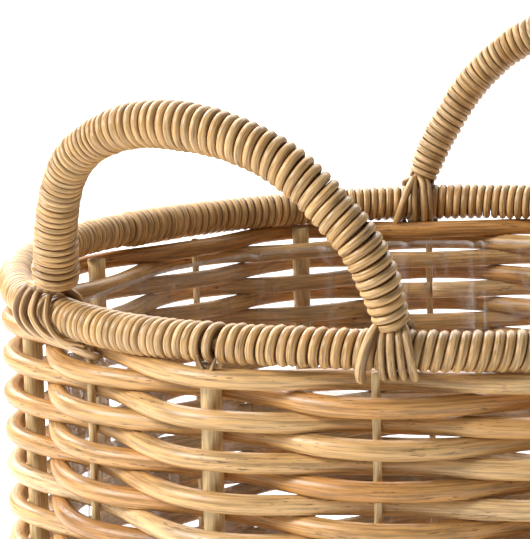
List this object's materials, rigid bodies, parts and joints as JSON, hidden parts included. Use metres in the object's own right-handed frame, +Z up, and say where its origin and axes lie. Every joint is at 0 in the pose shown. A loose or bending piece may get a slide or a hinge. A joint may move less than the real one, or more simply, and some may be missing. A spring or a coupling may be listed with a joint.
{
  "type": "planter basket",
  "caption": "Round woven rattan planter basket with a cane-wrapped rim, leaning arch handles, a slatted base and a lift-out clear film liner.",
  "frame": {"origin": "on the floor at the basket's centre, at the bottom of the foot hoop", "axes": "+Z up out of the mouth; -Y towards the front, with the left handle at the front left and the right handle at the back right; +X to the right"},
  "size_m": [0.441, 0.4519, 0.4291],
  "materials": {
    "wrapping_cane": "satin, peeled cane",
    "weaving_pole": "satin, natural rattan skin",
    "stake_pole": "satin, natural rattan skin",
    "core_cane": "satin, natural cane",
    "clear_film": "clear, thin, crinkled"
  },
  "bodies": {
    "basket": {"base_batten_1": "stake_pole", "base_batten_2": "stake_pole", "base_slat_1": "stake_pole", "base_slat_10": "stake_pole", "base_slat_11": "stake_pole", "base_slat_2": "stake_pole", "base_slat_3": "stake_pole", "base_slat_4": "stake_pole", "base_slat_5": "stake_pole", "base_slat_6": "stake_pole", "base_slat_7": "stake_pole", "base_slat_8": "stake_pole", "base_slat_9": "stake_pole", "foot_hoop": "weaving_pole", "handle_left_core": "core_cane", "handle_left_wrap": "wrapping_cane", "handle_right_core": "core_cane", "handle_right_wrap": "wrapping_cane", "rim_hoop": "core_cane", "rim_wrap_1": "wrapping_cane", "rim_wrap_2": "wrapping_cane", "rim_wrap_3": "wrapping_cane", "rim_wrap_4": "wrapping_cane", "stake_thick_1": "stake_pole", "stake_thick_2": "stake_pole", "stake_thick_3": "stake_pole", "stake_thick_4": "stake_pole", "stake_thick_5": "stake_pole", "stake_thick_6": "stake_pole", "stake_thick_7": "stake_pole", "stake_thick_8": "stake_pole", "stake_thin_1": "stake_pole", "stake_thin_2": "stake_pole", "stake_thin_3": "stake_pole", "stake_thin_4": "stake_pole", "stake_thin_5": "stake_pole", "stake_thin_6": "stake_pole", "stake_thin_7": "stake_pole", "stake_thin_8": "stake_pole", "weaver_a1": "weaving_pole", "weaver_a2": "weaving_pole", "weaver_a3": "weaving_pole", "weaver_a4": "weaving_pole", "weaver_a5": "weaving_pole", "weaver_a6": "weaving_pole", "weaver_b1": "weaving_pole", "weaver_b2": "weaving_pole", "weaver_b3": "weaving_pole", "weaver_b4": "weaving_pole", "weaver_b5": "weaving_pole", "weaver_b6": "weaving_pole"},
    "liner": {"film_liner": "clear_film"}
  },
  "joints": [
    {"name": "liner_lift", "type": "slide", "parent": "basket", "child": "liner", "axis": [0, 0, 1], "range_m": [0, 0.32]}
  ]
}
